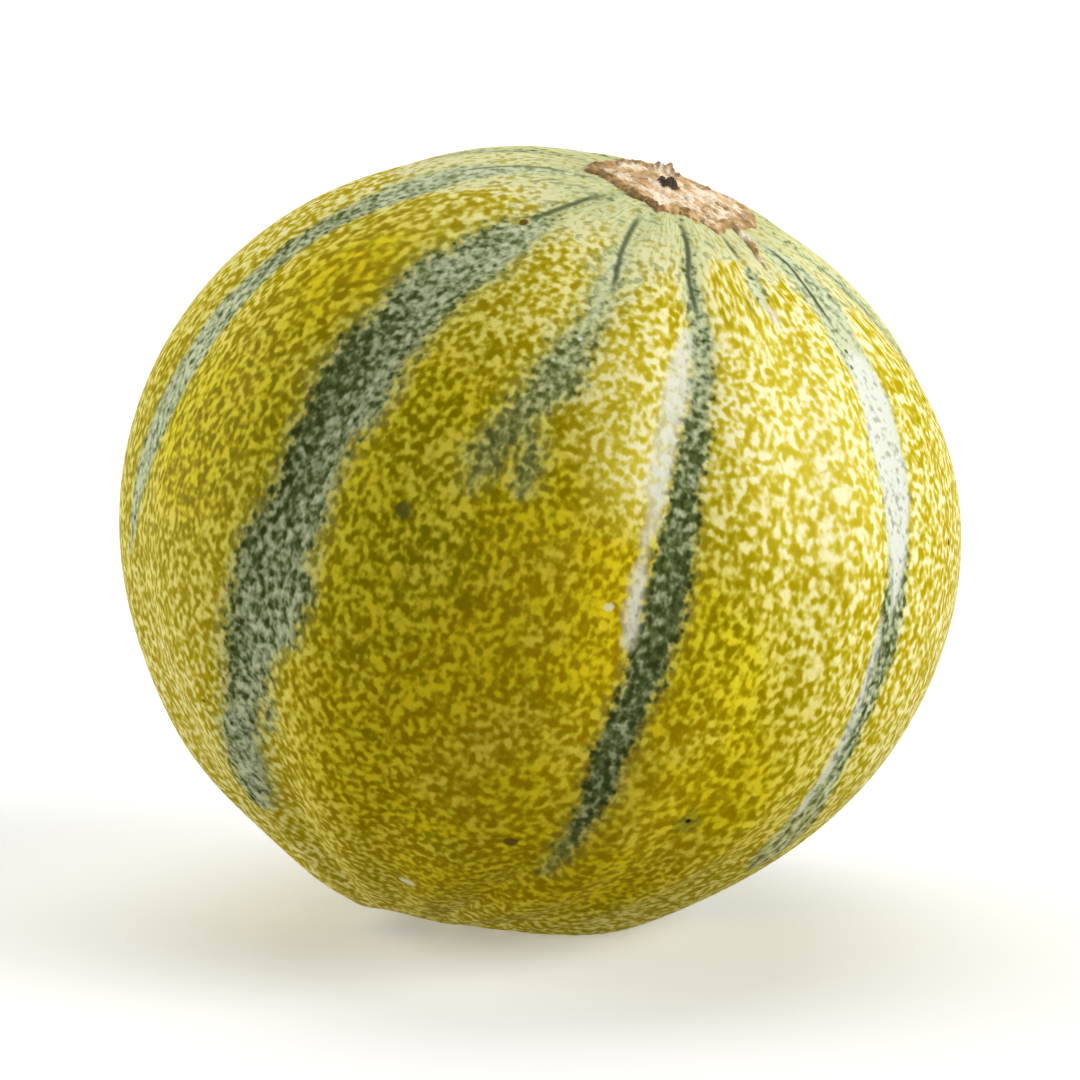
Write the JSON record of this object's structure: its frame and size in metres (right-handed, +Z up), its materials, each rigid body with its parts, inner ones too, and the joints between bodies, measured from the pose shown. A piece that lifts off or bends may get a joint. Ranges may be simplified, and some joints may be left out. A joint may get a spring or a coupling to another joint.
{
  "type": "ananas melon",
  "caption": "Whole round ananas melon with soft ribs, shallow furrows and a corky stem scar, leaning on a small flat spot under its blossom end",
  "frame": {"origin": "on the small flat rest spot, straight under the middle of the fruit", "axes": "+Z up from the surface the melon stands on, +X to the side that the stem end leans to, -Y to the side with the best view of the stripes"},
  "size_m": [0.1496, 0.151, 0.1375],
  "materials": {
    "rind": "satin"
  },
  "bodies": {
    "root": {"melon": "rind"}
  },
  "joints": []
}
